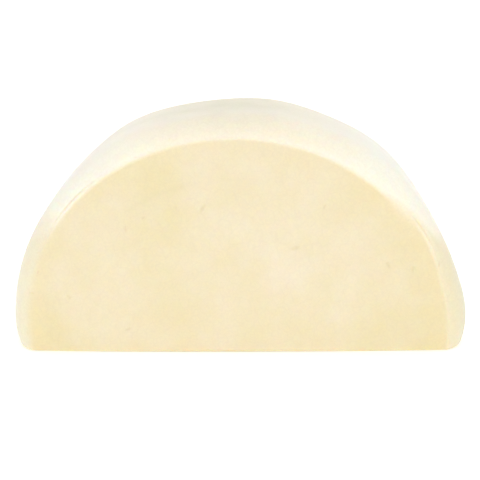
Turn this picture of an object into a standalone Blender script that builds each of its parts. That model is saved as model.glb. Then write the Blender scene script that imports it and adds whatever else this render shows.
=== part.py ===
"""Half of a round wheel of mild cheese without a rind, standing on its cut side.

The wheel is a low disc, pressed in a round mould: its two flat faces are
slightly crowned, and its edges are softly rounded. It is cut straight across
a little below its axis, and the piece rests on the flat cut.

Metres, +Z up. The wheel's axis runs along Y, its front face looks along -Y,
and the origin is the middle of the cut, where the piece rests.
"""
import math

import bmesh
import bpy
from mathutils import Matrix, Vector

# The whole wheel, before it is cut
WHEEL_RADIUS = 0.140
EDGE_THICKNESS = 0.084      # between the outer edges of its two faces
FACE_CROWN = 0.0025         # how far the middle of a face stands out beyond its edge
ROUNDING_IN = 0.012         # the edge rounding, from the rim in over a face
ROUNDING_ALONG = 0.016      # the same rounding, from a face along the rim
RIM_BULGE = 0.0006          # how far the middle of the rim stands out
RIM_TAPER = 0.0020          # how much larger the front edge's radius is than the back's

# The cut
AXIS_ABOVE_CUT = 0.0070
END_EASING_IN = 0.0025      # the cut's edge at both ends, where the soft rim gives way
END_EASING_UP = 0.0030      # how far up the rim that begins
FACE_EASING = 0.0010        # the cut's edge along the front and back faces

# The rim is slightly oval and egg-shaped. Angles are degrees from +X, up over the top.
OVAL_HEIGHT = 0.0014
OVAL_ANGLE = 125.0
EGG_HEIGHT = 0.0020
EGG_ANGLE = 39.0

# Shallow swellings and flats that the mould and the handling left:
# angle, height and spread (degrees, metres, degrees)
SWELLINGS = (
    (-5.0, -0.0018, 3.0),
    (6.0, 0.0025, 6.0),
    (34.0, -0.0011, 9.0),
    (50.0, 0.0014, 9.0),
    (82.0, 0.0016, 8.0),
    (100.0, 0.0005, 8.0),
    (118.0, 0.0027, 9.0),
    (185.0, -0.0032, 3.2),
)

# How finely the surfaces are divided
STEPS_ROUND = 160
STEPS_ROUNDING = 8
STEPS_RIM = 6
STEPS_FACE = 6
STEPS_EASING = 5

CHEESE_COLOUR = (0.93, 0.81, 0.55, 1.0)
CHEESE_ROUGHNESS = 0.42
WELD_DISTANCE = 0.00001
SMOOTH_BELOW = math.radians(50.0)


def clear_scene():
    for thing in list(bpy.data.objects):
        bpy.data.objects.remove(thing, do_unlink=True)


def new_collection(name):
    collection = bpy.data.collections.new(name)
    bpy.context.scene.collection.children.link(collection)
    return collection


def cheese_material():
    """Cream-coloured curd, moist and faintly waxy."""
    material = bpy.data.materials.new("cheese")
    material.use_nodes = True
    shader = material.node_tree.nodes["Principled BSDF"]
    shader.inputs["Base Color"].default_value = CHEESE_COLOUR
    shader.inputs["Roughness"].default_value = CHEESE_ROUGHNESS
    shader.inputs["Metallic"].default_value = 0.0
    material.diffuse_color = CHEESE_COLOUR
    return material


def face_line():
    """Points of a face from the axis outwards, as (radius, half thickness)."""
    edge = WHEEL_RADIUS - ROUNDING_IN
    points = []
    for step in range(STEPS_FACE):
        radius = edge * step / STEPS_FACE
        crown = FACE_CROWN * (1.0 - (radius / edge) ** 2)
        points.append((radius, EDGE_THICKNESS / 2 + crown))
    return points


def rounding_line():
    """A quarter ellipse from the face's edge to the start of the rim."""
    points = []
    for step in range(STEPS_ROUNDING + 1):
        turn = math.pi / 2 * step / STEPS_ROUNDING
        radius = WHEEL_RADIUS - ROUNDING_IN * (1.0 - math.sin(turn))
        half = EDGE_THICKNESS / 2 - ROUNDING_ALONG * (1.0 - math.cos(turn))
        points.append((radius, half))
    return points


def rim_line():
    """Points across the rim, between its two roundings, from top to bottom."""
    reach = EDGE_THICKNESS / 2 - ROUNDING_ALONG
    points = []
    for step in range(1, STEPS_RIM):
        height = reach * (1.0 - 2.0 * step / STEPS_RIM)
        points.append((WHEEL_RADIUS, height))
    return points


def wheel_profile():
    """The wheel's outline from the middle of one face to the middle of the other."""
    top = face_line() + rounding_line()
    bottom = [(radius, -half) for radius, half in reversed(top)]
    outline = top + rim_line() + bottom
    points = []
    for radius, height in outline:
        across = height / (EDGE_THICKNESS / 2)
        bulge = RIM_BULGE * (1.0 - across ** 2)
        taper = RIM_TAPER / 2 * max(-1.0, min(1.0, across))
        share = (radius / WHEEL_RADIUS) ** 2
        points.append(Vector((radius + share * (bulge + taper), 0.0, height)))
    return points


def apply_modifiers(thing):
    """Replace an object's mesh with what its modifiers make of it."""
    evaluated = thing.evaluated_get(bpy.context.evaluated_depsgraph_get())
    mesh = bpy.data.meshes.new_from_object(evaluated)
    thing.modifiers.clear()
    thing.data = mesh


def turned_wheel(name, collection):
    """Turn the profile round Z, then lay the wheel's axis along Y, above the cut."""
    points = wheel_profile()
    edges = [(number, number + 1) for number in range(len(points) - 1)]
    mesh = bpy.data.meshes.new(name)
    mesh.from_pydata(points, edges, [])
    wheel = bpy.data.objects.new(name, mesh)
    collection.objects.link(wheel)
    screw = wheel.modifiers.new("turn", "SCREW")
    screw.axis = "Z"
    screw.angle = math.tau
    screw.steps = STEPS_ROUND
    screw.render_steps = STEPS_ROUND
    screw.use_merge_vertices = True
    screw.merge_threshold = WELD_DISTANCE
    apply_modifiers(wheel)
    stand_up = Matrix.Rotation(math.pi / 2, 4, "X")
    raise_up = Matrix.Translation((0.0, 0.0, AXIS_ABOVE_CUT))
    wheel.data.transform(raise_up @ stand_up)
    return wheel


def out_of_round(angle):
    """How far the rim stands out beyond a true circle at an angle in degrees."""
    out = OVAL_HEIGHT * math.cos(2.0 * math.radians(angle - OVAL_ANGLE))
    out += EGG_HEIGHT * math.cos(3.0 * math.radians(angle - EGG_ANGLE))
    for centre, height, spread in SWELLINGS:
        away = (angle - centre + 180.0) % 360.0 - 180.0
        out += height * math.exp(-0.5 * (away / spread) ** 2)
    return out


def shape_rim(wheel):
    """Push the rim in and out. The middle of the faces stays where it is."""
    edge = WHEEL_RADIUS - ROUNDING_IN
    for vertex in wheel.data.vertices:
        right = vertex.co.x
        up = vertex.co.z - AXIS_ABOVE_CUT
        radius = math.hypot(right, up)
        if radius < WELD_DISTANCE:
            continue
        share = min(1.0, radius / edge) ** 2
        moved = radius + share * out_of_round(math.degrees(math.atan2(up, right)))
        vertex.co.x = right * moved / radius
        vertex.co.z = AXIS_ABOVE_CUT + up * moved / radius


def cut_across(wheel, collection):
    """Take away everything below the cut with a box."""
    size = 3.0 * WHEEL_RADIUS
    mesh = bpy.data.meshes.new("cut_away")
    box = bmesh.new()
    bmesh.ops.create_cube(box, size=size, matrix=Matrix.Translation((0.0, 0.0, -size / 2)))
    box.to_mesh(mesh)
    box.free()
    cutter = bpy.data.objects.new("cut_away", mesh)
    collection.objects.link(cutter)
    cutter.hide_render = True
    cutter.display_type = "WIRE"
    boolean = wheel.modifiers.new("cut", "BOOLEAN")
    boolean.operation = "DIFFERENCE"
    boolean.solver = "EXACT"
    boolean.object = cutter
    apply_modifiers(wheel)


def easing(height, inward, upward):
    """How far a rounded edge draws in at a height above the cut."""
    below = max(0.0, 1.0 - height / upward)
    return inward * (1.0 - math.sqrt(1.0 - below ** 2))


def ease_cut_edge(wheel):
    """Round the cut's edge: a little along the faces, and more at the soft ends."""
    solid = bmesh.new()
    solid.from_mesh(wheel.data)
    bmesh.ops.remove_doubles(solid, verts=solid.verts, dist=WELD_DISTANCE)
    heights = [FACE_EASING * 0.3, FACE_EASING]
    for step in range(1, STEPS_EASING + 1):
        turn = math.pi / 2 * step / STEPS_EASING
        heights.append(END_EASING_UP * (1.0 - math.cos(turn)))
    for height in sorted(heights):
        everything = solid.verts[:] + solid.edges[:] + solid.faces[:]
        bmesh.ops.bisect_plane(
            solid, geom=everything, dist=WELD_DISTANCE,
            plane_co=(0.0, 0.0, height), plane_no=(0.0, 0.0, 1.0))
    half_length = max(abs(vertex.co.x) for vertex in solid.verts)
    half_depth = max(abs(vertex.co.y) for vertex in solid.verts)
    for vertex in solid.verts:
        end = easing(vertex.co.z, END_EASING_IN, END_EASING_UP)
        face = easing(vertex.co.z, FACE_EASING, FACE_EASING)
        vertex.co.x *= 1.0 - end / half_length
        vertex.co.y *= 1.0 - face / half_depth
    bmesh.ops.triangulate(solid, faces=solid.faces)
    bmesh.ops.dissolve_degenerate(solid, dist=WELD_DISTANCE, edges=solid.edges)
    solid.to_mesh(wheel.data)
    solid.free()


def centre_on_cut(wheel):
    """Put the origin below the middle of the piece, on the cut."""
    across = [vertex.co.x for vertex in wheel.data.vertices]
    deep = [vertex.co.y for vertex in wheel.data.vertices]
    shift = Vector((-(min(across) + max(across)) / 2, -(min(deep) + max(deep)) / 2, 0.0))
    wheel.data.transform(Matrix.Translation(shift))


def half_wheel(collection, cutters):
    """The whole piece, in the order in which the real one is made."""
    wheel = turned_wheel("half_wheel", collection)
    shape_rim(wheel)
    cut_across(wheel, cutters)
    ease_cut_edge(wheel)
    centre_on_cut(wheel)
    wheel.data.materials.clear()
    wheel.data.materials.append(cheese_material())
    wheel.data.shade_smooth()
    wheel.data.set_sharp_from_angle(angle=SMOOTH_BELOW)
    return wheel


def main():
    clear_scene()
    parts = new_collection("cheese_half_wheel")
    cutters = new_collection("cutters")
    half_wheel(parts, cutters)


main()
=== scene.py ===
"""Half of a round wheel of mild, rindless cheese, dressed round its fixed frame.

The frame gives the wheel's outline. One piece is modelled over it: a disc with
rounded edges, cut straight across, with the marks of its mould and press, the
knit of its curd, short nicks, and the small eyes and wire marks of the cut that
it stands on.
"""

import math
import random

import bmesh
import bpy
import numpy as np
from mathutils import Matrix, Vector, kdtree, noise


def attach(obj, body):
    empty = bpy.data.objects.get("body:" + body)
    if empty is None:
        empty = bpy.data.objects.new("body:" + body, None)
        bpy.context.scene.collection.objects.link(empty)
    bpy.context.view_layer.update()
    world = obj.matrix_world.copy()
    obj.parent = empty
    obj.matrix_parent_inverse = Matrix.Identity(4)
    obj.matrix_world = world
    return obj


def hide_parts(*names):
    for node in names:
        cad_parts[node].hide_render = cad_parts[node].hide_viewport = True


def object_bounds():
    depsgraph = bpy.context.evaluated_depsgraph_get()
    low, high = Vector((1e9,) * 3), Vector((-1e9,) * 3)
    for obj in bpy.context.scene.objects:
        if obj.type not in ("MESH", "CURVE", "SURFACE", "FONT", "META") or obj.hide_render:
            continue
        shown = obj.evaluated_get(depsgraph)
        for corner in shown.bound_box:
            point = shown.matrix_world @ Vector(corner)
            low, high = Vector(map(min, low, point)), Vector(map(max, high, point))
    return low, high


bl_info = {
    "name": "Cheese Half Wheel",
    "version": (1, 0, 0),
    "blender": (4, 5, 0),
    "location": "3D View > Sidebar > Cheese",
    "description": "Models half a wheel of mild cheese over its frame, and sets its stage",
    "category": "Object",
}

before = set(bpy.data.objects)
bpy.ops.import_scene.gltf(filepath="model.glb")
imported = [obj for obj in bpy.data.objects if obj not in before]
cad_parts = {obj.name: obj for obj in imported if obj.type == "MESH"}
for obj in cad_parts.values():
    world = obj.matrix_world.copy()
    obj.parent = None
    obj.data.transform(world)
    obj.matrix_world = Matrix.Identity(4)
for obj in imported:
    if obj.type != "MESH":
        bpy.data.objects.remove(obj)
CAD_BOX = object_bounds()
CAD_NODE = "half_wheel"
PIECE = "cheese_half"
MM = 0.001

# Angles round the wheel's axis are degrees from +X, up over the top.
# Where the front face reaches further out towards the rim: angle, how far, spread
FACE_REACHES = (
    (4.0, 2.0 * MM, 9.0),
    (31.5, 4.0 * MM, 10.0),
    (60.0, 0.5 * MM, 8.0),
    (147.0, 6.5 * MM, 26.0),
)
# Where the painted light on the upper rim is strongest, on the shoulders: angle, spread
LIT_SHOULDERS = (
    (45.0, 15.0),
    (133.0, 14.0),
)
# Where painted shade darkens the rim: angle, spread, place along the axis, spread along it, how much
RIM_SHADE_PATCHES = (
    (93.0, 15.0, 3.0 * MM, 27.0 * MM, 0.68),
    (124.0, 6.0, 8.0 * MM, 14.0 * MM, 0.16),
    (132.0, 4.5, -21.0 * MM, 9.0 * MM, 0.25),
    (6.0, 13.0, -27.0 * MM, 7.0 * MM, 1.0),
)
# Where the front face is yellower or, below 0, paler: to the right, height, spread, how much
FACE_TONES = (
    (-45.0 * MM, 90.0 * MM, 25.0 * MM, 0.185),
    (45.0 * MM, 35.0 * MM, 30.0 * MM, -0.08),
)
# Where a face stays pale up to its edge: angle, spread
PALE_EDGE = (88.0, 15.0)
# Where the painted shade just inside a face's edge is stronger or, below 0, fainter: angle, spread, how
# much
EDGE_SHADES = (
    (46.0, 14.0, 0.15),
    (84.0, 13.0, -0.35),
    (139.0, 15.0, -0.35),
)
# Where the lip's painted highlight is faint: angle, spread
PLAIN_LIP = (107.0, 9.0)
# Where the lip was rubbed flat and the face runs softly over into the rim: angle, spread
RUBBED = (39.0, 4.0)
# Where mould and lid left an open seam outside the lip: angle, spread
SEAMS = (
    (31.0, 4.5),
    (138.0, 6.0),
)
# Where the press lid's faint ring shows on the front face: angle, spread
RING_SHOWS = (113.0, 11.0)
# Short nicks in the front face: to the right of the middle, height, half length, slant in degrees
FACE_NICKS = (
    (-57.5 * MM, 86.5 * MM, 1.8 * MM, 40.0),
    (-68.7 * MM, 79.5 * MM, 2.4 * MM, 95.0),
    (-22.0 * MM, 92.0 * MM, 3.2 * MM, 62.0),
    (-105.0 * MM, 36.0 * MM, 2.0 * MM, 130.0),
    (-69.0 * MM, 15.0 * MM, 2.2 * MM, 20.0),
    (34.0 * MM, 67.0 * MM, 3.0 * MM, 15.0),
    (52.0 * MM, 93.0 * MM, 2.0 * MM, 70.0),
    (91.0 * MM, 56.0 * MM, 2.4 * MM, 110.0),
    (106.0 * MM, 53.0 * MM, 2.4 * MM, 75.0),
)

# How the disc is divided, and how near a plane its points lie when they belong to it
DISC_SIDES = 128
ROUNDING_STEPS = 6
CUT_EDGE_STEPS = 2
SMOOTHING_PASSES = 12
TOUCHING = 0.01 * MM
# The outline is read from the frame this near the rim's middle and this far off the cut
RIM_BAND = 3 * MM
OFF_CUT = 1 * MM
# Points on the cut lie lower than this, and face down at least so much
ON_CUT = 0.5 * MM
FACES_DOWN = 0.9
# Heights between which each of these sets in, so that the cut stays flat
SMOOTHING_FROM = (2 * MM, 5 * MM)
RELIEF_FROM = (ON_CUT, 6 * MM)
RING_FROM = (0.3 * MM, 2.5 * MM)

# The mesh is halved this far to both sides of the faces' edges, and in front once more, nearer
REFINE_WIDE = 3.4 * MM
REFINE_NARROW = 2.2 * MM
# The lip and the ring come and go over this length
BROKEN_SIZE = 22 * MM
# The lip is rubbed away over twice this height, and from right to left between these places
LIP_FADE = 6 * MM
LIP_FADES_LEFT = (30 * MM, -30 * MM)
# Half widths of the seam, the lid's ring and the shade beside it, and the shade's place
SEAM_WIDTH = 0.7 * MM
RING_WIDTH = 1.4 * MM
SHADE_WIDTH = 1.8 * MM
SHADE_INSIDE_RING = 2.6 * MM

# Eyes stay this far inside the cut's outline, and scattered nicks this far above the cut
EYE_MARGIN = 7 * MM
NICKS_ABOVE = 8 * MM
# Holes lie this far apart, few are large, and the mesh is finer this far round them
APART = 3 * MM
FEW_LARGE = 2.2
REFINE_ROUND = 0.8 * MM
TRIES_FOR_EACH = 60
SCATTER_SEED = 11
# Depth as a share of the half length, and how many times as long as wide
EYE_SHAPE = (0.9, 1.0)
NICK_SHAPE = (0.12, 3.5)
FACE_NICK_SHAPE = (0.10, 2.6)
# The wire's furrows: two sizes, how they stretch from front to back, and where they set in
COARSE_FURROWS = 5 * MM
FINE_FURROWS = 2.2 * MM
FURROW_STRETCH = (1.0, 0.12, 1.0)
FURROWS_FACING_DOWN = (0.7, 0.98)

# The lower line of the painted light on the rim changes height between these distances from the rim's
# middle
BY_FACE = (36 * MM, 42 * MM)
# The painted light on the rim fades in over twice this height in front, and over more behind
LIT_SOFT = 11 * MM
LIT_SOFT_BEHIND = 17 * MM
BEHIND = (-24 * MM, 10 * MM)
# Sizes of the uneven patches in the painted light and the painted shade on the rim
LIT_PATCH_SIZE = 16 * MM
RIM_SHADE_PATCH_SIZE = 14 * MM
# Between these places the lip's painted highlight grows towards the right end
RIGHT_END = (90 * MM, 125 * MM)
# A face turns into the rim over twice this width, over more where the rim has no painted light or is
# rubbed, and where it has painted light it begins to turn further in
EDGE_BLEND = 1.6 * MM
UNLIT_BLEND = 2.4 * MM
RUBBED_BLEND = 4.5 * MM
LIT_BEGINS_IN = 0.8 * MM
# From full to gone: the painted shade inside a face's edge, the painted shade towards the cut, and the
# yellower parts of a face
EDGE_SHADE_FADE = (1 * MM, 14 * MM)
SHADE_BY_CUT = (0.0, 60 * MM)
YELLOW_BY_EDGE = (0.0, 60 * MM)
YELLOW_BY_END = (130 * MM, 60 * MM)
# The cut's look sets in where the surface faces down, and stays below this height
CUT_FACING_DOWN = (0.35, 0.85)
CUT_REACH = 4 * MM

# Patterns in the curd: clouds, curds and the knit lines between them, and grains
CLOUD_SIZE = 30 * MM
CURD_SIZE = 6 * MM
KNIT_SIZE = 5.5 * MM
GRAIN_SIZE = 1.3 * MM
# How far the curds are bent out of shape, and over what distance that changes
BEND = 6 * MM
BEND_SIZE = 9 * MM
# Depth of the relief that is too fine for the mesh
KNIT_RELIEF = 0.4 * MM
GRAIN_RELIEF = 0.2 * MM
# What the mesh stores at each point for the material
MEASURES = (
    "height", "along", "yellow", "edge_warmth", "rim_share", "rim_moist", "rim_dull",
    "cut", "below_skin", "seam", "ring_shade", "hole",
)
# The brown that darker places are mixed with, as linear values: the curd's knit lines and grains, and
# painted shade
DARK_CURD_AND_SHADE = (0.30, 0.22, 0.10, 1.0)

# Soft lights: name, the setting for its strength, azimuth, elevation and breadth in degrees
LIGHTS = (
    ("light_left", "left", -120.0, 45.0, 40.0),
    ("light_right", "right", 120.0, 45.0, 40.0),
    ("light_front", "front", 0.0, 30.0, 50.0),
    ("light_high", "high", 0.0, 60.0, 50.0),
    ("light_back", "back", 180.0, 15.0, 50.0),
)
LIGHT_DISTANCE = 2.0
# The floor lies this far below the cut, and its matt surface has this grain and depth
FLOOR_DROP = 0.1 * MM
TABLE_GRAIN = 2 * MM
TABLE_RELIEF = 0.1 * MM


def linear(hex_colour):
    """An sRGB hex colour as linear red, green and blue."""
    values = [int(hex_colour[start:start + 2], 16) / 255 for start in (0, 2, 4)]
    return tuple(v / 12.92 if v <= 0.04045 else ((v + 0.055) / 1.055) ** 2.4 for v in values)


def length(name, description, default):
    return bpy.props.FloatProperty(
        name=name, description=description, default=default, unit="LENGTH", precision=5)


def angle(name, description, degrees):
    return bpy.props.FloatProperty(
        name=name, description=description, default=math.radians(degrees), subtype="ANGLE")


def number(name, description, default):
    return bpy.props.FloatProperty(name=name, description=description, default=default, min=0)


def count(name, description, default):
    return bpy.props.IntProperty(name=name, description=description, default=default, min=0)


def colour(name, description, hex_colour):
    return bpy.props.FloatVectorProperty(
        name=name, description=description, default=linear(hex_colour), subtype="COLOR", min=0, max=1)


class CheeseBody(bpy.types.PropertyGroup):
    radius: length("Wheel radius", "Radius of the whole wheel", 140 * MM)
    thickness: length("Thickness", "Thickness of the wheel in its middle", CAD_BOX[1].y - CAD_BOX[0].y)
    rounding: length("Edge rounding", "Radius of the wheel's rounded edges", 13 * MM)
    cut_edge: length("Cut edge", "Rounding of the edge where the wheel was cut", 1 * MM)
    spacing: length("Mesh spacing", "Size of the faces of the smooth surface", 1.6 * MM)


class CheesePress(bpy.types.PropertyGroup):
    front_radius: length("Front face", "Radius of the flat front face where it is smallest", 127.1 * MM)
    back_inset: length("Back face inset", "From the rim in to the back face's edge", 13.4 * MM)
    lip_height: length("Lip height", "Curd squeezed up beside the press lid", 0.40 * MM)
    lip_width: length("Lip width", "Width of that lip", 1.8 * MM)
    lip_fades: length("Lip fades", "Height at the left end where the lip is rubbed away", 66 * MM)
    seam_depth: length("Seam depth", "Fine groove outside the lip, where mould and lid met", 0.50 * MM)
    ring_inset: length("Ring inset", "From a face's edge in to the press lid's faint ring", 22 * MM)
    ring_height: length("Ring height", "Height of that ring", 0.28 * MM)
    waves: length("Waves", "Height of the slow unevenness of the surface", 0.50 * MM)
    waves_size: length("Wave size", "Distance between those waves", 45 * MM)
    knit: length("Curd knit", "Relief of the pressed curds", 0.10 * MM)
    knit_size: length("Curd size", "Size of the pressed curds", 6 * MM)
    # The heights above which the rim is painted paler, as painted light from above
    lit_left: length("Dry left", "Height above which the rim's left end is drier and paler", 79 * MM)
    lit_right: length("Dry right", "Height above which the rim's right end is so", 64 * MM)
    lit_by_face: length("Dry by a face", "Height above which it is so beside the faces", 83 * MM)


class CheeseCut(bpy.types.PropertyGroup):
    eyes: count("Eyes", "Small round holes in the cut", 46)
    eye_small: length("Smallest eye", "Radius of the smallest eyes", 0.9 * MM)
    eye_large: length("Largest eye", "Radius of the largest eyes", 2.4 * MM)
    drag: length("Wire marks", "Depth of the marks that the cutting wire left", 0.20 * MM)
    nicks: count("Nicks", "Short shallow nicks in the outside", 44)
    nick_size: length("Nick size", "Half the length of the longest nicks", 2.2 * MM)


class CheeseColours(bpy.types.PropertyGroup):
    face_pale: colour("Pale curd", "Paler curd, towards the middle of a face", "F2E7D0")
    face_deep: colour("Deep curd", "Yellower curd, towards the outside of a face", "ECE0B8")
    # Painted shade: the darker tone just inside a face's edge and in the seam outside the lip
    face_edge_shade: colour("Edge curd", "Warmer, denser curd just inside a face's edge", "F1E2BA")
    # Painted light: the paler tone of the upper rim, where light from above and the sheen fall
    rim_painted_light: colour("Dry rim", "The drier outside of the upper rim", "FFF6E8")
    # The rim's own tone, where it has no painted light
    rim_moist: colour("Moist rim", "The rim further down", "EEE7CF")
    # Painted shade: the darker tone that the rim's shaded patches are mixed towards
    rim_dull: colour("Dull rim", "The duller parts of the rim", "DFDBC2")
    cut: colour("Cut", "Fresh curd where the wheel was cut", "F4E6C0")
    skin: colour("Skin", "The thin drier layer under the outside, seen at the cut", "EFE1BB")
    scatter: length("Scatter depth", "How far light spreads in the curd", 3.5 * MM)


class CheeseStage(bpy.types.PropertyGroup):
    distance: length("Camera distance", "From the camera to the point it aims at", 0.9)
    aim_height: length("Aim height", "Height of that point above the floor", 0.0596)
    azimuth: angle("Azimuth", "Camera's turn round the piece", 1.13)
    elevation: angle("Elevation", "Camera's height as an angle", 16.29)
    roll: angle("Roll", "Camera's tilt to the side", -0.51)
    lens: number("Lens", "Focal length in millimetres", 105.6)
    left: number("Left light", "Soft light from the left, in watts a square metre", 0.11)
    right: number("Right light", "Soft light from the right, in watts a square metre", 0.19)
    front: number("Front light", "Soft light from the camera's side, in watts a square metre", 0.34)
    high: number("High light", "Soft light from high in front, in watts a square metre", 0.16)
    back: number("Back light", "Soft low light from behind, in watts a square metre", 0.10)
    room: number("Room", "Strength of the even light of the room", 0.82)
    glow: number("Glow", "Light that comes up through the translucent table", 0.30)
    floor: colour("Floor", "Plain matt floor", "F6F6F4")
    floor_size: length("Floor size", "Width of the floor, whose far edge lies near the horizon", 80.0)


# Modelling helpers

def deselect_all():
    if bpy.context.object and bpy.context.object.mode != "OBJECT":
        bpy.ops.object.mode_set(mode="OBJECT")
    bpy.ops.object.select_all(action="DESELECT")


def make_active(thing):
    deselect_all()
    thing.select_set(True)
    bpy.context.view_layer.objects.active = thing


def select_in_edit(thing, kind, wanted):
    """In edit mode, select the faces or edges that the wanted function names."""
    bpy.ops.mesh.select_mode(type=kind)
    bpy.ops.mesh.select_all(action="DESELECT")
    mesh = bmesh.from_edit_mesh(thing.data)
    for element in (mesh.faces if kind == "FACE" else mesh.edges):
        if wanted(element):
            element.select_set(True)
    bmesh.update_edit_mesh(thing.data)


def halve_faces(thing, wanted):
    """Halve the edges of the faces that the wanted function names."""
    bpy.ops.object.mode_set(mode="EDIT")
    select_in_edit(thing, "FACE", wanted)
    bpy.ops.mesh.subdivide(number_cuts=1, smoothness=0.0)
    bpy.ops.object.mode_set(mode="OBJECT")


def apply_modifier(thing, name, kind, **settings):
    """Add a modifier with its settings and apply it."""
    modifier = thing.modifiers.new(name, kind)
    for key, value in settings.items():
        setattr(modifier, key, value)
    bpy.ops.object.modifier_apply(modifier=name)


def weigh(thing, name, weights):
    """Make a vertex group that gives each point its weight."""
    group = thing.vertex_groups.new(name=name)
    for index in np.nonzero(weights > 0.0)[0]:
        group.add([int(index)], float(weights[index]), "REPLACE")
    return group


def points_of(mesh):
    points = np.zeros(len(mesh.vertices) * 3)
    mesh.vertices.foreach_get("co", points)
    return points.reshape(-1, 3)


def normals_of(mesh):
    normals = np.zeros(len(mesh.vertices) * 3)
    mesh.vertices.foreach_get("normal", normals)
    return normals.reshape(-1, 3)


def centres_of_faces(mesh):
    centres = np.zeros(len(mesh.polygons) * 3)
    mesh.polygons.foreach_get("center", centres)
    return centres.reshape(-1, 3)


def move_points(mesh, points):
    mesh.vertices.foreach_set("co", points.ravel())
    mesh.update()


def store(mesh, name, values):
    """Keep one number for each point, for the material to read."""
    attribute = mesh.attributes.get(name) or mesh.attributes.new(name, "FLOAT", "POINT")
    attribute.data.foreach_set("value", np.asarray(values, dtype=np.float32))


def smooth_step(low, high, values):
    """0 up to low, 1 from high on, and smooth between."""
    share = np.clip((values - low) / (high - low), 0.0, 1.0)
    return share * share * (3.0 - 2.0 * share)


def fade(full, gone, values):
    """1 where a value is at full, 0 where it is at gone, and even between."""
    return np.clip((gone - values) / (gone - full), 0.0, 1.0)


def bell(away, spread):
    """1 in the middle, and falling away smoothly over the spread."""
    return np.exp(-0.5 * (away / spread) ** 2)


def ridge(away, half_width):
    """1 along the middle of a narrow ridge or groove, and falling away to both sides."""
    return np.exp(-(away / half_width) ** 2)


def near_angle(angles, centre, spread):
    """1 at an angle in degrees, and falling away smoothly over the spread."""
    return bell(np.degrees(angles) - centre, spread)


def near_any(angles, patches):
    """The same for several patches, each an angle and a spread."""
    return sum(near_angle(angles, centre, spread) for centre, spread in patches)


def uneven(points, size, seed):
    """Smooth noise between about -1 and 1 at each point, with features of this size."""
    offset = Vector((seed * 7.3, seed * 3.1, seed * 5.7))
    return np.array([noise.noise(Vector(point) / size + offset) for point in points])


# What the frame says about the wheel

class Wheel:
    """The wheel's axis and outline, measured on the frame."""

    def __init__(self):
        points = points_of(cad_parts[CAD_NODE].data)
        crown = points[points[:, 1].argmin()]
        self.axis = Vector((crown[0], 0.0, crown[2]))
        on_rim = (abs(points[:, 1]) < RIM_BAND) & (points[:, 2] > OFF_CUT)
        right = points[on_rim, 0] - self.axis.x
        up = points[on_rim, 2] - self.axis.z
        angles = np.arctan2(up, right)
        order = angles.argsort()
        self.angles = angles[order]
        self.radii = np.hypot(right, up)[order]

    def polar(self, points):
        """Angle round the axis and distance from it."""
        right = points[:, 0] - self.axis.x
        up = points[:, 2] - self.axis.z
        angles = np.arctan2(up, right)
        angles[angles < -math.pi / 2] += math.tau
        return angles, np.hypot(right, up)

    def inside_edge(self, points, press):
        """How far each point lies inside the edge of its face. On the rim this is negative."""
        angles, radii = self.polar(points)
        front = np.full_like(radii, press.front_radius)
        for centre, reach, spread in FACE_REACHES:
            front += reach * near_angle(angles, centre, spread)
        back = np.interp(angles, self.angles, self.radii) - press.back_inset
        return np.where(points[:, 1] < 0.0, front, back) - radii


class CHEESE_OT_body(bpy.types.Operator):
    """Turn a plain disc into the smooth half wheel that fills the frame"""
    bl_idname = "cheese.body"
    bl_label = "Body"

    def execute(self, context):
        body = context.scene.cheese_body
        wheel = Wheel()
        deselect_all()
        bpy.ops.mesh.primitive_cylinder_add(
            vertices=DISC_SIDES, radius=body.radius, depth=body.thickness, end_fill_type="NGON",
            location=wheel.axis, rotation=(math.pi / 2, 0.0, 0.0))
        piece = context.object
        piece.name = PIECE
        piece.data.name = PIECE
        bpy.ops.object.transform_apply(location=True, rotation=True, scale=True)
        bpy.ops.object.mode_set(mode="EDIT")
        half = body.thickness / 2
        self.round_edges(piece, half, body.rounding)
        self.round_edges(piece, -half, body.rounding)
        self.cut_across(piece, body.cut_edge)
        bpy.ops.object.mode_set(mode="OBJECT")
        apply_modifier(piece, "even mesh", "REMESH", mode="VOXEL", voxel_size=body.spacing)
        apply_modifier(
            piece, "fill the frame", "SHRINKWRAP",
            target=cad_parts[CAD_NODE], wrap_method="NEAREST_SURFACEPOINT")
        self.smooth(piece)
        bpy.ops.object.shade_smooth()
        if not len(piece.data.polygons):
            raise RuntimeError("the body came out empty")
        return {"FINISHED"}

    def round_edges(self, piece, side, rounding):
        """Bevel the edge where one of the disc's faces meets its rim."""
        select_in_edit(piece, "EDGE", lambda edge: all(
            abs(vertex.co.y - side) < TOUCHING for vertex in edge.verts))
        bpy.ops.mesh.bevel(offset=rounding, segments=ROUNDING_STEPS, profile=0.5, affect="EDGES")

    def cut_across(self, piece, cut_edge):
        """Cut the disc along the floor, close the cut, and ease its edge."""
        bpy.ops.mesh.select_all(action="SELECT")
        bpy.ops.mesh.bisect(
            plane_co=(0.0, 0.0, 0.0), plane_no=(0.0, 0.0, 1.0), use_fill=True, clear_inner=True)
        select_in_edit(piece, "EDGE", lambda edge: all(
            abs(vertex.co.z) < TOUCHING for vertex in edge.verts))
        bpy.ops.mesh.bevel(offset=cut_edge, segments=CUT_EDGE_STEPS, profile=0.5, affect="EDGES")

    def smooth(self, piece):
        """Even out the frame's facets, but keep the cut's edge."""
        weights = smooth_step(*SMOOTHING_FROM, points_of(piece.data)[:, 2])
        away = weigh(piece, "away from the cut", weights)
        apply_modifier(
            piece, "smooth facets", "SMOOTH",
            factor=0.5, iterations=SMOOTHING_PASSES, vertex_group=away.name)
        piece.vertex_groups.clear()


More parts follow.
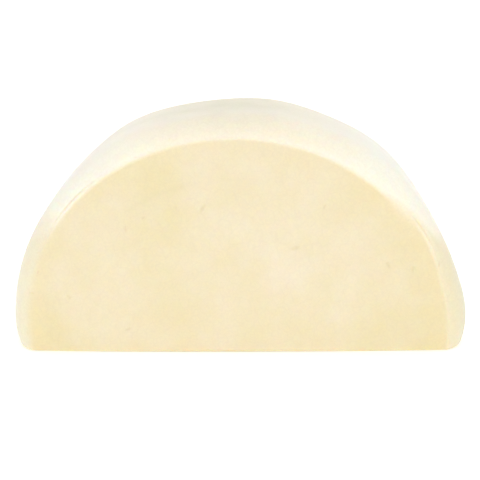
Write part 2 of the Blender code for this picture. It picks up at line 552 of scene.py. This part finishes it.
class CHEESE_OT_press(bpy.types.Operator):
    """Leave the marks of the mould and the press lid, and the knit of the curd"""
    bl_idname = "cheese.press"
    bl_label = "Press marks"

    def execute(self, context):
        press = context.scene.cheese_press
        piece = bpy.data.objects[PIECE]
        wheel = Wheel()
        make_active(piece)
        self.refine_edges(piece, wheel, press, REFINE_WIDE)
        self.refine_edges(piece, wheel, press, REFINE_NARROW, front_only=True)
        self.roll_surface(piece, "waves", "CLOUDS", press.waves_size, press.waves)
        self.roll_surface(piece, "curd knit", "VORONOI", press.knit_size, press.knit)
        self.press_lid(piece, wheel, press)
        return {"FINISHED"}

    def refine_edges(self, piece, wheel, press, reach, front_only=False):
        """Halve the mesh's faces along the wheel's edges, where the lip is finer than they are."""
        centres = centres_of_faces(piece.data)
        near = (abs(wheel.inside_edge(centres, press)) < reach) & (centres[:, 2] > ON_CUT)
        if front_only:
            near &= centres[:, 1] < 0.0
        halve_faces(piece, lambda face: near[face.index])

    def roll_surface(self, piece, name, kind, size, height):
        """Raise and lower the surface by a procedural pattern, but not on the cut."""
        pattern = bpy.data.textures.new(name, kind)
        pattern.noise_scale = size
        weights = smooth_step(*RELIEF_FROM, points_of(piece.data)[:, 2])
        above = weigh(piece, "above the cut", weights)
        apply_modifier(
            piece, name, "DISPLACE", texture=pattern, texture_coords="LOCAL",
            strength=height, mid_level=0.5, vertex_group=above.name)
        piece.vertex_groups.clear()

    def press_lid(self, piece, wheel, press):
        """The lip round a pressed face, the fine seam outside it, and the lid's ring."""
        mesh = piece.data
        points = points_of(mesh)
        inside = wheel.inside_edge(points, press)
        angles, _ = wheel.polar(points)
        broken = uneven(points, BROKEN_SIZE, seed=1)
        by_seam = near_any(angles, SEAMS)
        seam = by_seam * ridge(inside + 0.9 * press.lip_width, SEAM_WIDTH)
        shows = np.where(points[:, 1] < 0.0, near_angle(angles, *RING_SHOWS), 0.5 + 0.5 * broken)
        shows *= smooth_step(*RING_FROM, points[:, 2])
        ring = shows * ridge(inside - press.ring_inset, RING_WIDTH)
        ring_shade = shows * ridge(inside - press.ring_inset - SHADE_INSIDE_RING, SHADE_WIDTH)
        lip = ridge(inside, press.lip_width / 2) * (0.75 + 0.5 * broken + 0.5 * by_seam)
        lip *= self.lip_stands(points, angles, press)
        lift = lip * press.lip_height - seam * press.seam_depth + ring * press.ring_height
        points += normals_of(mesh) * lift[:, None]
        points[:, 2] = np.maximum(points[:, 2], 0.0)
        move_points(mesh, points)
        store(mesh, "seam", seam)
        store(mesh, "ring_shade", ring_shade)

    def lip_stands(self, points, angles, press):
        """0 where the lip was rubbed away, low at the left end and at one place above."""
        low = smooth_step(press.lip_fades + LIP_FADE, press.lip_fades - LIP_FADE, points[:, 2])
        at_left = smooth_step(*LIP_FADES_LEFT, points[:, 0])
        return (1.0 - low * at_left) * (1.0 - near_angle(angles, *RUBBED))


class CHEESE_OT_holes(bpy.types.Operator):
    """Add the eyes and wire marks of the cut, and the short nicks of the outside"""
    bl_idname = "cheese.holes"
    bl_label = "Eyes and nicks"

    def execute(self, context):
        cut = context.scene.cheese_cut
        piece = bpy.data.objects[PIECE]
        make_active(piece)
        chance = random.Random(SCATTER_SEED)
        points = points_of(piece.data)
        in_cut = self.well_inside_cut(points, normals_of(piece.data))
        self.drag_marks(piece, cut)
        eyes = self.scatter(chance, points[in_cut], cut.eyes, cut.eye_small, cut.eye_large)
        outside = points[:, 2] > NICKS_ABOVE
        nicks = self.scatter(chance, points[outside], cut.nicks, cut.nick_size / 3, cut.nick_size)
        front = CAD_BOX[0].y
        face_nicks = [(Vector((right, front, height)), size) for right, height, size, _ in FACE_NICKS]
        self.refine_round(piece, eyes + nicks + face_nicks)
        self.refine_round(piece, eyes)
        turns = [chance.random() * math.pi for _ in eyes + nicks]
        slants = [math.radians(slant) for *_, slant in FACE_NICKS]
        holes = self.sink(piece, eyes, turns, *EYE_SHAPE)
        holes = np.maximum(holes, 0.5 * self.sink(piece, nicks, turns[len(eyes):], *NICK_SHAPE))
        holes = np.maximum(holes, self.sink(piece, face_nicks, slants, *FACE_NICK_SHAPE))
        store(piece.data, "hole", holes)
        return {"FINISHED"}

    def well_inside_cut(self, points, normals):
        """Which points lie on the cut, away from its outline."""
        inner = (normals[:, 2] < -FACES_DOWN) & (points[:, 2] < ON_CUT)
        for axis in (0, 1):
            places = points[:, axis]
            inner &= (places > places.min() + EYE_MARGIN) & (places < places.max() - EYE_MARGIN)
        return inner

    def scatter(self, chance, places, wanted, smallest, largest):
        """Choose places at random, with few large ones, and none that touch."""
        chosen = []
        for _ in range(wanted * TRIES_FOR_EACH):
            if len(chosen) == wanted:
                break
            place = Vector(places[chance.randrange(len(places))])
            radius = smallest + (largest - smallest) * chance.random() ** FEW_LARGE
            if all((place - other).length > radius + size + APART for other, size in chosen):
                chosen.append((place, radius))
        if not chosen:
            raise RuntimeError("there was no room for any eye or nick")
        return chosen

    def refine_round(self, piece, spots):
        """Halve the faces at each spot."""
        tree = kdtree.KDTree(len(spots))
        for index, (place, _) in enumerate(spots):
            tree.insert(place, index)
        tree.balance()

        def near(face):
            _, index, away = tree.find(face.calc_center_median())
            return away < spots[index][1] + REFINE_ROUND

        halve_faces(piece, near)

    def sink(self, piece, spots, turns, depth, slimness):
        """Press a hollow at each spot, slim across its turn. Returns how deep each point is, 0 to 1."""
        mesh = piece.data
        points = points_of(mesh)
        normals = normals_of(mesh)
        moved = points.copy()
        inside = np.zeros(len(points))
        for (place, radius), turn in zip(spots, turns):
            nearest = ((points - np.array(place)) ** 2).sum(axis=1).argmin()
            away = points - points[nearest]
            inward = -normals[nearest]
            slim = np.cross(inward, (math.cos(turn), 0.3, math.sin(turn)))
            slim /= np.linalg.norm(slim)
            across = away @ slim
            stretched = (away ** 2).sum(axis=1) + across ** 2 * (slimness ** 2 - 1.0)
            bowl = np.sqrt(np.clip(1.0 - stretched / radius ** 2, 0.0, 1.0))
            moved += inward * (bowl * depth * radius)[:, None]
            inside = np.maximum(inside, bowl)
        move_points(mesh, moved)
        return inside

    def drag_marks(self, piece, cut):
        """Fine uneven furrows across the cut, along the way the wire went."""
        mesh = piece.data
        points = points_of(mesh)
        on_cut = smooth_step(*FURROWS_FACING_DOWN, -normals_of(mesh)[:, 2])
        along = points * np.array(FURROW_STRETCH)
        furrows = uneven(along, COARSE_FURROWS, seed=5) + 0.5 * uneven(along, FINE_FURROWS, seed=6)
        points[:, 2] += on_cut * cut.drag * np.clip(0.5 + 0.5 * furrows, 0.0, 1.0)
        move_points(mesh, points)


# Materials

def add(tree, kind, inputs=None, **settings):
    """Add a node with its settings. An input is a value, a socket, or a node's first output."""
    node = tree.nodes.new(kind)
    for key, value in settings.items():
        setattr(node, key, value)
    for key, value in (inputs or {}).items():
        if isinstance(value, bpy.types.Node):
            value = value.outputs[0]
        if isinstance(value, bpy.types.NodeSocket):
            tree.links.new(value, node.inputs[key])
        else:
            node.inputs[key].default_value = value
    return node


def new_material(name):
    material = bpy.data.materials.new(name)
    material.use_nodes = True
    material.node_tree.nodes.clear()
    return material, material.node_tree


def rgba(colour_value):
    return (*colour_value, 1.0)


def curd_patterns(tree):
    """The patterns of pressed curd: clouds, curds, the lines between them, and grains."""
    place = add(tree, "ShaderNodeTexCoord").outputs["Object"]
    clouds = add(tree, "ShaderNodeTexNoise", {"Vector": place, "Scale": 1 / CLOUD_SIZE, "Detail": 4.0})
    bent = add(tree, "ShaderNodeTexNoise", {"Vector": place, "Scale": 1 / BEND_SIZE, "Detail": 2.0})
    bend = add(tree, "ShaderNodeVectorMath", {
        0: bent.outputs["Color"], 1: (BEND, BEND, BEND), 2: place}, operation="MULTIPLY_ADD")
    curds = add(tree, "ShaderNodeTexVoronoi", {
        "Vector": bend, "Scale": 1 / CURD_SIZE}, feature="SMOOTH_F1")
    lines = add(tree, "ShaderNodeTexVoronoi", {
        "Vector": bend, "Scale": 1 / KNIT_SIZE}, feature="DISTANCE_TO_EDGE")
    grains = add(tree, "ShaderNodeTexNoise", {"Vector": place, "Scale": 1 / GRAIN_SIZE, "Detail": 3.0})
    curdy = add(tree, "ShaderNodeMath", {0: curds, 1: 0.15, 2: clouds}, operation="MULTIPLY_ADD")
    mottle = add(tree, "ShaderNodeMath", {0: grains, 1: 0.3, 2: curdy}, operation="MULTIPLY_ADD")
    return {"clouds": clouds, "curds": curds, "lines": lines, "grains": grains, "mottle": mottle}


def curd_shares(tree, patterns):
    """How much each tone shows, from the patterns and from what the mesh stores."""
    shares = dict(patterns)
    for name in MEASURES:
        shares[name] = add(tree, "ShaderNodeAttribute", attribute_name=name).outputs["Fac"]
    shares["mottled_yellow"] = add(tree, "ShaderNodeMath", {0: shares["mottle"], 1: shares["yellow"]})
    # Name, what it reads, from where to where, and what it gives at those two
    for name, source, low, high, at_low, at_high in (
            ("deep", "mottled_yellow", 0.53, 1.15, 0.0, 1.0),
            ("rim_mottle", "mottle", 0.4, 1.1, -0.1, 0.1),
            ("right_end", "along", 85 * MM, 130 * MM, 0.0, 0.4),
            # Painted shade in the seam outside the lip
            ("in_seam", "seam", 0.2, 1.0, 0.0, 0.45),
            # Painted shade in eyes and nicks, in the skin's tone
            ("in_hole", "hole", 0.0, 1.0, 0.0, 0.45),
            ("well_in", "below_skin", 1.0 * MM, 4.5 * MM, 0.0, 1.0),
            ("dark_line", "lines", 0.0, 0.10, 0.024, 0.0),
            ("dark_grain", "grains", 0.42, 0.62, 0.045, 0.0),
            ("dark_ring", "ring_shade", 0.0, 1.0, 0.0, 0.04),
            # Painted shade in eyes and nicks
            ("dark_hole", "hole", 0.0, 1.0, 0.0, 0.08),
            # Painted shade along the foot, where the wheel meets the floor
            ("foot_shade", "height", 0.5 * MM, 4.0 * MM, 0.025, 0.0),
            ("roughness", "clouds", 0.3, 0.7, 0.50, 0.38),
    ):
        shares[name] = add(tree, "ShaderNodeMapRange", {
            "Value": shares[source], "From Min": low, "From Max": high,
            "To Min": at_low, "To Max": at_high})
    # Name, the two that it is made of, and how
    for name, first, second, operation in (
            ("rim_depth", "rim_moist", "rim_mottle", "ADD"),
            ("rim_yellow", "right_end", "rim_moist", "MULTIPLY"),
            ("dark", "dark_line", "dark_grain", "ADD"),
            ("dark", "dark", "dark_ring", "ADD"),
            ("dark", "dark", "dark_hole", "ADD"),
            ("dark", "dark", "foot_shade", "ADD"),
    ):
        shares[name] = add(tree, "ShaderNodeMath", {
            0: shares[first], 1: shares[second]}, operation=operation)
    return shares


def curd_colour(tree, shares, colours):
    """Mix the curd's tones, in the order in which they lie over one another."""
    tones = {name: rgba(getattr(colours, name)) for name in (
        "face_pale", "face_deep", "face_edge_shade", "rim_painted_light", "rim_moist", "rim_dull", "cut", "skin")}
    tones["dark"] = DARK_CURD_AND_SHADE
    # Name, its share, and the two tones that it is mixed from
    for name, share, under, over in (
            # The face is yellower towards its outside, and has painted shade just inside its edge
            ("face", "deep", "face_pale", "face_deep"),
            ("face", "edge_warmth", "face", "face_edge_shade"),
            # The rim has painted light above, its own tone further down, and painted shade in patches
            ("rim", "rim_depth", "rim_painted_light", "rim_moist"),
            ("rim", "rim_yellow", "rim", "face_deep"),
            ("rim", "rim_dull", "rim", "rim_dull"),
            ("outside", "rim_share", "face", "rim"),
            # Painted shade in the seam outside the lip, in the edge's shade tone
            ("outside", "in_seam", "outside", "face_edge_shade"),
            # The cut shows fresh curd, with a thin drier skin round it
            ("fresh", "well_in", "skin", "cut"),
            ("surface", "cut", "outside", "fresh"),
            # Painted shade in the eyes and nicks, in the skin's tone
            ("surface", "in_hole", "surface", "skin"),
            # Knit lines and grains are darker, and painted shade darkens the holes, beside the ring,
            # and along the foot by the cut
            ("surface", "dark", "surface", "dark"),
    ):
        mix = add(tree, "ShaderNodeMix", {
            "Factor": shares[share], 6: tones[under], 7: tones[over]}, data_type="RGBA")
        tones[name] = mix.outputs[2]
    return tones["surface"]


def pressed_curd(colours):
    """Semi-hard cheese, pressed in a smooth mould without a rind.

    Light goes some millimetres into the fatty curd and comes back warm, so it has
    no hard shadows. The surface is damp and faintly waxy, and so has a soft, broad
    sheen, glossier in cloudy patches. Pressed curds show as a barely darker and
    lighter mottle. The upper rim is painted paler, with painted light from above and a painted sheen.
    """
    material, tree = new_material("pressed_curd")
    patterns = curd_patterns(tree)
    shares = curd_shares(tree, patterns)
    knit = add(tree, "ShaderNodeBump", {
        "Height": patterns["curds"], "Strength": 0.25, "Distance": KNIT_RELIEF})
    grain = add(tree, "ShaderNodeBump", {
        "Height": patterns["grains"], "Strength": 0.35, "Distance": GRAIN_RELIEF, "Normal": knit})
    shader = add(tree, "ShaderNodeBsdfPrincipled", {
        "Base Color": curd_colour(tree, shares, colours),
        "Roughness": shares["roughness"], "IOR": 1.45,
        "Subsurface Weight": 1.0, "Subsurface Radius": (1.0, 0.75, 0.45),
        "Subsurface Scale": colours.scatter,
        "Coat Weight": 0.06, "Coat Roughness": 0.30, "Normal": grain})
    add(tree, "ShaderNodeOutputMaterial", {"Surface": shader})
    return material


def translucent_table(floor_colour, glow):
    """White translucent acrylic, sandblasted matt, and lit a little from below."""
    material, tree = new_material("translucent_table")
    place = add(tree, "ShaderNodeTexCoord").outputs["Object"]
    tooth = add(tree, "ShaderNodeTexNoise", {"Vector": place, "Scale": 1 / TABLE_GRAIN})
    bump = add(tree, "ShaderNodeBump", {
        "Height": tooth, "Strength": 0.1, "Distance": TABLE_RELIEF})
    shader = add(tree, "ShaderNodeBsdfPrincipled", {
        "Base Color": rgba(floor_colour), "Roughness": 0.9, "Specular IOR Level": 0.2,
        "Emission Color": rgba(floor_colour), "Emission Strength": glow, "Normal": bump})
    add(tree, "ShaderNodeOutputMaterial", {"Surface": shader})
    return material


class CHEESE_OT_finish(bpy.types.Operator):
    """Give the piece its material and make it stand for the frame's solid"""
    bl_idname = "cheese.finish"
    bl_label = "Finish"

    def execute(self, context):
        piece = bpy.data.objects[PIECE]
        self.measure(piece.data, context.scene.cheese_press)
        piece.data.materials.clear()
        piece.data.materials.append(pressed_curd(context.scene.cheese_colours))
        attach(piece, "root")
        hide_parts(CAD_NODE)
        return {"FINISHED"}

    def measure(self, mesh, press):
        """Store what the material reads at each point."""
        points = points_of(mesh)
        height = points[:, 2]
        wheel = Wheel()
        inside = wheel.inside_edge(points, press)
        angles, _ = wheel.polar(points)
        # Painted light from above on the upper rim, strongest on the shoulders
        lit_share = self.painted_light_share(points, press)
        # A painted highlight along the lip
        lip_highlight = self.lip_highlight(points, inside, angles, lit_share, press)
        unlit = 1.0 - lit_share * (0.55 + 0.45 * near_any(angles, LIT_SHOULDERS))
        blend = EDGE_BLEND + UNLIT_BLEND * (1.0 - lit_share) + RUBBED_BLEND * near_angle(angles, *RUBBED)
        facing_down = smooth_step(*CUT_FACING_DOWN, -normals_of(mesh)[:, 2])
        store(mesh, "height", height)
        store(mesh, "along", points[:, 0])
        store(mesh, "yellow", self.yellowness(points, inside, angles))
        # Painted shade just inside a face's edge
        store(mesh, "edge_warmth", self.edge_warmth(inside, angles))
        store(mesh, "rim_share", smooth_step(blend + LIT_BEGINS_IN * lit_share, -blend, inside))
        # The rim's own tone shows where it has neither painted light nor the lip's painted highlight
        store(mesh, "rim_moist", unlit * (1.0 - 0.9 * lip_highlight))
        # Painted shade on the rim, in a few patches
        store(mesh, "rim_dull", self.rim_shade_share(points, angles))
        store(mesh, "cut", facing_down * (height < CUT_REACH))
        store(mesh, "below_skin", self.below_skin(points))

    def painted_light_share(self, points, press):
        """1 high on the rim, where painted light from above falls, and 0 further down."""
        ends = (CAD_BOX[0].x, CAD_BOX[1].x)
        line = np.interp(points[:, 0], ends, (press.lit_left, press.lit_right))
        line += (press.lit_by_face - line) * smooth_step(*BY_FACE, abs(points[:, 1]))
        soft = LIT_SOFT + LIT_SOFT_BEHIND * smooth_step(*BEHIND, points[:, 1])
        above = points[:, 2] - line + 0.65 * soft * uneven(points, LIT_PATCH_SIZE, seed=3)
        return smooth_step(-soft, soft, above)

    def rim_shade_share(self, points, angles):
        """How much painted shade darkens the rim, in a few uneven patches."""
        painted_rim_shade = sum(
            share * near_angle(angles, centre, spread) * bell(points[:, 1] - place, along)
            for centre, spread, place, along, share in RIM_SHADE_PATCHES)
        painted_rim_shade *= 1.0 + 0.35 * uneven(points, RIM_SHADE_PATCH_SIZE, seed=8)
        return np.clip(painted_rim_shade, 0.0, 1.0)

    def lip_highlight(self, points, inside, angles, lit_share, press):
        """How strong the lip's painted highlight is, where the rim has painted light, where the seam is
        open, and at the right end.
        """
        at_right = smooth_step(*RIGHT_END, points[:, 0])
        pale = ridge(inside + 0.5 * press.lip_width, press.lip_width)
        pale *= np.clip(lit_share + near_any(angles, SEAMS) + 0.35 * at_right, 0.0, 1.0)
        pale *= 1.0 - near_angle(angles, *RUBBED)
        return pale * (1.0 - 0.7 * near_angle(angles, *PLAIN_LIP))

    def edge_warmth(self, inside, angles):
        """How much painted shade the face has just inside its edge."""
        darkness = 0.5
        for centre, spread, share in EDGE_SHADES:
            darkness = darkness + share * near_angle(angles, centre, spread)
        return darkness * fade(*EDGE_SHADE_FADE, inside)

    def yellowness(self, points, inside, angles):
        """How much yellower a face is, towards its edge and the right end and in patches, with painted
        shade towards the cut.
        """
        right = points[:, 0]
        height = points[:, 2]
        by_edge = 0.19 * fade(*YELLOW_BY_EDGE, inside)
        by_edge *= 1.0 - 0.9 * near_angle(angles, *PALE_EDGE)
        patches = sum(
            share * bell(np.hypot(right - middle, height - up), spread)
            for middle, up, spread, share in FACE_TONES)
        # Painted shade, yellower and darker towards the cut
        shade_by_cut = 0.16 * fade(*SHADE_BY_CUT, height)
        by_end = 0.10 * fade(*YELLOW_BY_END, right)
        return shade_by_cut + by_edge + by_end + patches * (points[:, 1] < 0.0)

    def below_skin(self, points):
        """On the cut, the distance in from the outside of the wheel."""
        half_depth = CAD_BOX[1].y - abs(points[:, 1])
        half_length = CAD_BOX[1].x - abs(points[:, 0])
        return np.minimum(half_depth, half_length)


# Stage

def direction(azimuth, elevation):
    """From the piece towards something at these angles. Azimuth 0 is the camera's side."""
    flat = math.cos(elevation)
    return Vector((math.sin(azimuth) * flat, -math.cos(azimuth) * flat, math.sin(elevation)))


def soft_light(name, strength, azimuth, elevation, breadth):
    """A distant, very broad light. Its angles are in degrees."""
    towards = direction(math.radians(azimuth), math.radians(elevation))
    deselect_all()
    bpy.ops.object.light_add(type="SUN", location=LIGHT_DISTANCE * towards)
    light = bpy.context.object
    light.name = name
    light.data.name = name
    light.data.energy = strength
    light.data.angle = math.radians(breadth)
    light.rotation_euler = (-towards).to_track_quat("-Z", "Y").to_euler()


class CHEESE_OT_stage(bpy.types.Operator):
    """Lay the floor, hang the soft lights and set the camera"""
    bl_idname = "cheese.stage"
    bl_label = "Stage"

    def execute(self, context):
        stage = context.scene.cheese_stage
        self.lay_floor(stage)
        for name, setting, azimuth, elevation, breadth in LIGHTS:
            soft_light(name, getattr(stage, setting), azimuth, elevation, breadth)
        self.light_room(context, stage)
        self.set_camera(context, stage)
        context.scene.view_settings.view_transform = "Standard"
        context.scene.view_settings.look = "None"
        return {"FINISHED"}

    def lay_floor(self, stage):
        deselect_all()
        bpy.ops.mesh.primitive_plane_add(size=stage.floor_size, location=(0.0, 0.0, -FLOOR_DROP))
        floor = bpy.context.object
        floor.name = "floor"
        bpy.ops.object.transform_apply(location=True, rotation=True, scale=True)
        floor.data.materials.append(translucent_table(stage.floor, stage.glow))

    def light_room(self, context, stage):
        world = bpy.data.worlds.new("room")
        world.use_nodes = True
        tree = world.node_tree
        tree.nodes.clear()
        light = add(tree, "ShaderNodeBackground", {
            "Color": (1.0, 1.0, 1.0, 1.0), "Strength": stage.room})
        add(tree, "ShaderNodeOutputWorld", {"Surface": light})
        context.scene.world = world

    def set_camera(self, context, stage):
        deselect_all()
        bpy.ops.object.camera_add()
        camera = bpy.context.object
        camera.name = "camera"
        camera.data.lens = stage.lens
        camera.data.sensor_width = 36.0
        camera.data.clip_start = 0.01
        back = direction(stage.azimuth, stage.elevation)
        aim = Vector((0.0, 0.0, stage.aim_height))
        look = (-back).to_track_quat("-Z", "Y").to_matrix().to_4x4()
        roll = Matrix.Rotation(stage.roll, 4, "Z")
        camera.matrix_world = Matrix.Translation(aim + back * stage.distance) @ look @ roll
        context.scene.camera = camera


class CHEESE_PT_panel(bpy.types.Panel):
    """Everything that makes the piece and its stage"""
    bl_label = "Cheese Half Wheel"
    bl_idname = "CHEESE_PT_panel"
    bl_space_type = "VIEW_3D"
    bl_region_type = "UI"
    bl_category = "Cheese"

    def draw(self, context):
        for group, (_, operator) in STEPS.items():
            box = self.layout.box()
            settings = getattr(context.scene, group)
            for name in settings.__annotations__:
                box.prop(settings, name)
            box.operator(operator.bl_idname)


# Each group of settings, and the operator that uses it, in order
STEPS = {
    "cheese_body": (CheeseBody, CHEESE_OT_body),
    "cheese_press": (CheesePress, CHEESE_OT_press),
    "cheese_cut": (CheeseCut, CHEESE_OT_holes),
    "cheese_colours": (CheeseColours, CHEESE_OT_finish),
    "cheese_stage": (CheeseStage, CHEESE_OT_stage),
}
CLASSES = [item for pair in STEPS.values() for item in pair] + [CHEESE_PT_panel]


def register():
    for item in CLASSES:
        bpy.utils.register_class(item)
    for name, (group, _) in STEPS.items():
        setattr(bpy.types.Scene, name, bpy.props.PointerProperty(type=group))


def unregister():
    for name in STEPS:
        delattr(bpy.types.Scene, name)
    for item in reversed(CLASSES):
        bpy.utils.unregister_class(item)


def main():
    register()
    bpy.ops.cheese.body()
    bpy.ops.cheese.press()
    bpy.ops.cheese.holes()
    bpy.ops.cheese.finish()
    bpy.ops.cheese.stage()


if __name__ == "__main__":
    main()
